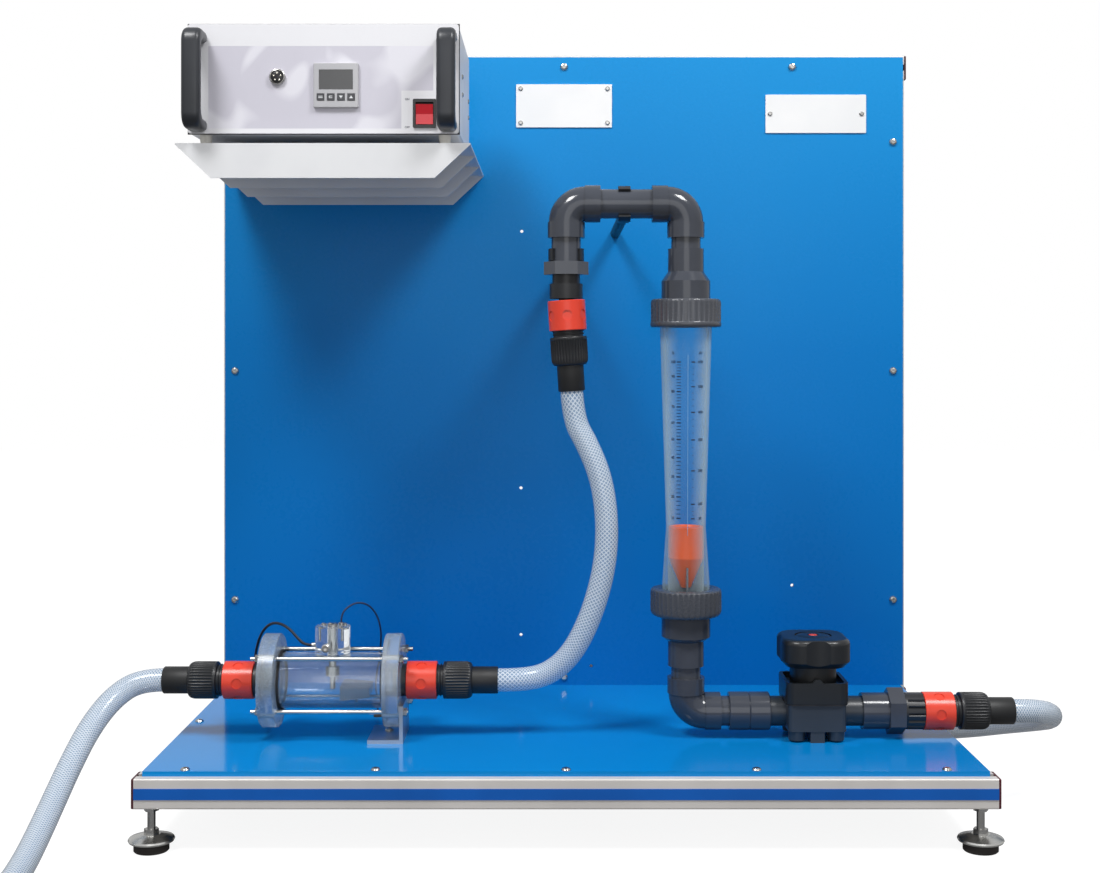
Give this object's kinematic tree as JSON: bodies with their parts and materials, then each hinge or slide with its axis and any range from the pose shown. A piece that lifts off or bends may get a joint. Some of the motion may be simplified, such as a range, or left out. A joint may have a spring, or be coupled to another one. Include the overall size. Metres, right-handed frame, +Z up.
{
  "type": "vortex flow meter training unit",
  "caption": "Bench unit: a clear vortex flow meter, a tapered variable-area meter and a diaphragm valve, joined by pipes and quick-coupled hoses, with a display console on a shelf.",
  "frame": {"origin": "middle of the footprint on the floor, between the four levelling feet", "axes": "+X to the right seen from the front, +Y to the back, +Z up"},
  "size_m": [1.0749, 1.11, 0.87],
  "materials": {
    "aluminium": "satin anodised",
    "end_cap": "moulded",
    "slot_strip": "matte",
    "base_sheet": "glossy",
    "panel_sheet": "glossy",
    "steel": "satin",
    "rubber": "matte",
    "foot_disc": "bright",
    "white_plate": "glossy",
    "white_paint": "semi gloss",
    "case_paint": "textured",
    "fascia": "satin film",
    "handle": "satin",
    "meter_case": "fine textured",
    "bezel_grey": "fine textured",
    "clip_black": "satin",
    "key": "matte",
    "window": "glossy",
    "switch_case": "glossy",
    "rocker": "glossy",
    "brass": "bright",
    "clear_acrylic": "polished clear",
    "clear_amide": "moulded clear",
    "grey_moulding": "matte",
    "coupling_grey": "satin",
    "sleeve_orange": "satin",
    "pipe_grey": "satin",
    "float_orange": "satin",
    "valve_grey": "satin",
    "valve_black": "satin",
    "indicator_red": "satin",
    "hose": "translucent braided",
    "lead_black": "matte"
  },
  "bodies": {
    "root": {"back_beams": "aluminium", "back_panel": "panel_sheet", "base_beams": "aluminium", "base_plate": "base_sheet", "beam_end_caps": "end_cap", "cable_grommets": "rubber", "clear_tube": "clear_acrylic", "console_case": "case_paint", "console_fascia": "fascia", "console_handles": "handle", "console_shelf": "white_paint", "corner_brackets": "aluminium", "coupling_nipples": "coupling_grey", "display_window": "window", "end_flanges": "clear_acrylic", "float_stop": "grey_moulding", "foot_discs": "foot_disc", "foot_studs": "steel", "head_fittings": "steel", "hose_connectors": "coupling_grey", "inlet_hose": "hose", "loop_hose": "hose", "mains_inlet": "meter_case", "meter_bracket": "steel", "name_plates": "white_plate", "outlet_hose": "hose", "panel_meter": "bezel_grey", "pipe_clips": "clip_black", "pipe_fittings": "pipe_grey", "pipes": "pipe_grey", "rotameter_tube": "clear_amide", "rubber_feet": "rubber", "rubber_seals": "rubber", "screws": "steel", "sensor_head": "clear_acrylic", "sensor_probe": "steel", "sensor_socket": "meter_case", "shedder_bar": "grey_moulding", "slot_cover_strip": "slot_strip", "socket_pins": "brass", "switch_frame": "switch_case", "tie_rods": "steel", "union_nuts": "pipe_grey", "union_reducers": "pipe_grey", "valve_body": "valve_grey", "valve_bonnet": "valve_black", "wire_left": "lead_black", "wire_right": "lead_black"},
    "rocker": {"power_rocker": "rocker"},
    "key_1": {"meter_button_1": "key"},
    "key_2": {"meter_button_2": "key"},
    "key_3": {"meter_button_3": "key"},
    "key_4": {"meter_button_4": "key"},
    "handwheel": {"handwheel": "valve_black"},
    "spindle": {"valve_spindle": "indicator_red"},
    "float": {"rotameter_float": "float_orange"},
    "inlet_sleeve": {"sleeve_inlet": "sleeve_orange"},
    "meter_outlet_sleeve": {"sleeve_meter_outlet": "sleeve_orange"},
    "upper_sleeve": {"sleeve_upper": "sleeve_orange"},
    "outlet_sleeve": {"sleeve_outlet": "sleeve_orange"}
  },
  "joints": [
    {"name": "rocker_tilt", "type": "hinge", "parent": "root", "child": "rocker", "pos_m": [-0.1506, -0.0905, 0.7522], "axis": [-1, 0, 0], "range_deg": [0, 16]},
    {"name": "key_1_press", "type": "slide", "parent": "root", "child": "key_1", "axis": [0, 1, 0], "range_m": [0, 0.0005], "stiffness_N_per_m": 400, "springref_m": -0.0005},
    {"name": "key_2_press", "type": "slide", "parent": "root", "child": "key_2", "axis": [0, 1, 0], "range_m": [0, 0.0005], "stiffness_N_per_m": 400, "springref_m": -0.0005},
    {"name": "key_3_press", "type": "slide", "parent": "root", "child": "key_3", "axis": [0, 1, 0], "range_m": [0, 0.0005], "stiffness_N_per_m": 400, "springref_m": -0.0005},
    {"name": "key_4_press", "type": "slide", "parent": "root", "child": "key_4", "axis": [0, 1, 0], "range_m": [0, 0.0005], "stiffness_N_per_m": 400, "springref_m": -0.0005},
    {"name": "handwheel_turn", "type": "hinge", "parent": "root", "child": "handwheel", "pos_m": [0.269, -0.07, 0.16], "axis": [0, 0, 1], "range_deg": [0, 1080]},
    {"name": "spindle_lift", "type": "slide", "parent": "root", "child": "spindle", "axis": [0, 0, 1], "range_m": [0, 0.008]},
    {"name": "float_rise", "type": "slide", "parent": "root", "child": "float", "axis": [0, 0, 1], "range_m": [0, 0.19]},
    {"name": "inlet_sleeve_release", "type": "slide", "parent": "root", "child": "inlet_sleeve", "axis": [-1, 0, 0], "range_m": [0, 0.005], "stiffness_N_per_m": 800, "springref_m": -0.002},
    {"name": "meter_outlet_sleeve_release", "type": "slide", "parent": "root", "child": "meter_outlet_sleeve", "axis": [1, 0, 0], "range_m": [0, 0.005], "stiffness_N_per_m": 800, "springref_m": -0.002},
    {"name": "upper_sleeve_release", "type": "slide", "parent": "root", "child": "upper_sleeve", "axis": [0.061, 0, -0.9981], "range_m": [0, 0.005], "stiffness_N_per_m": 800, "springref_m": -0.002},
    {"name": "outlet_sleeve_release", "type": "slide", "parent": "root", "child": "outlet_sleeve", "axis": [1, 0, 0], "range_m": [0, 0.005], "stiffness_N_per_m": 800, "springref_m": -0.002}
  ],
  "couplings": [
    {"joint": "spindle_lift", "follows": "handwheel_turn", "m_per_rad": 0.00042441}
  ]
}
